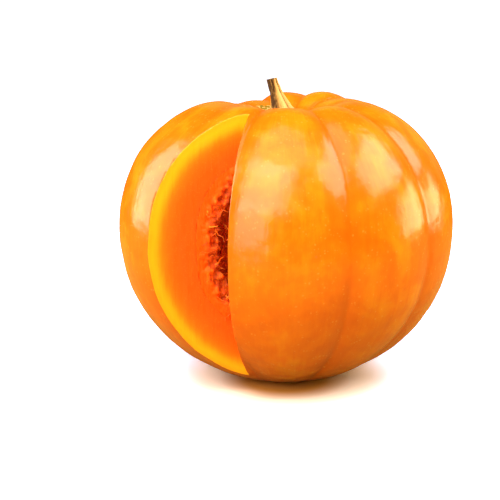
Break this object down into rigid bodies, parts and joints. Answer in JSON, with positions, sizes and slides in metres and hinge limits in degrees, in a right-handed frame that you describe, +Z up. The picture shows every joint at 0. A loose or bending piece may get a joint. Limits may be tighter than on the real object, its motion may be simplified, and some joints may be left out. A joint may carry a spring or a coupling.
{
  "type": "pumpkin",
  "caption": "Ripe orange ribbed pumpkin with a wedge cut out of its front, showing flesh, fibrous pulp and seeds, with a dry stem.",
  "frame": {"origin": "the middle of the flat spot that the fruit rests on, straight under its stem", "axes": "+Z up along the fruit's axis, -Y towards its front, with the cut-out wedge at the front left and the stem leaning towards -X"},
  "size_m": [0.2751, 0.2768, 0.248],
  "materials": {
    "rind": "satin",
    "flesh": "satin",
    "fibrous_pulp": "satin",
    "dry_stem": "matte",
    "seed_shell": "satin"
  },
  "bodies": {
    "root": {"flesh_and_rind": "rind", "pulp": "fibrous_pulp", "stem": "dry_stem", "seed_01": "seed_shell", "seed_02": "seed_shell", "seed_03": "seed_shell", "seed_04": "seed_shell", "seed_05": "seed_shell", "seed_06": "seed_shell", "seed_07": "seed_shell", "seed_08": "seed_shell", "seed_09": "seed_shell", "seed_10": "seed_shell", "seed_11": "seed_shell", "seed_12": "seed_shell", "seed_13": "seed_shell", "seed_14": "seed_shell", "seed_15": "seed_shell", "seed_16": "seed_shell", "seed_17": "seed_shell", "seed_18": "seed_shell", "seed_19": "seed_shell", "seed_20": "seed_shell"}
  },
  "joints": []
}
